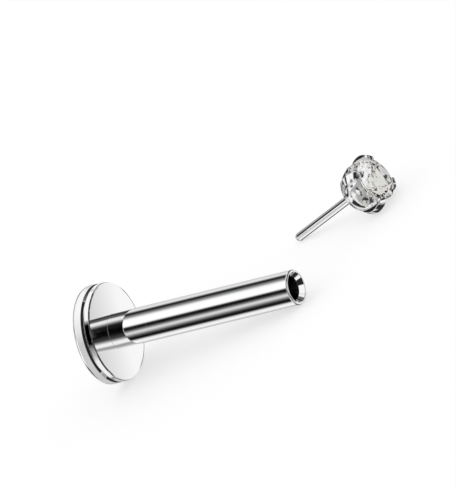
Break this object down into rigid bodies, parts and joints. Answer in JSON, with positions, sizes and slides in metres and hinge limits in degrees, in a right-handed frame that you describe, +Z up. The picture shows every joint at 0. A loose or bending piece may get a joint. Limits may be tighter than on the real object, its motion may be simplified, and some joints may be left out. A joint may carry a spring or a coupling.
{
  "type": "flat-back labret stud",
  "caption": "Flat-back labret stud taken apart: a disc with a hollow tube post, and beside it the push-fit pin top that holds a round cut stone in claws.",
  "frame": {"origin": "on the surface that both pieces lie on, below the middle of their common box", "axes": "+X from the post's disc towards its mouth, +Y from the post towards the loose top, +Z up"},
  "size_m": [0.0101, 0.0072, 0.0034],
  "materials": {
    "polished_steel": "mirror-polished surgical steel",
    "clear_stone": "cut and polished clear zirconia"
  },
  "bodies": {
    "root": {"flat_back_post": "polished_steel", "claw_setting": "polished_steel", "stone": "clear_stone"}
  },
  "joints": []
}
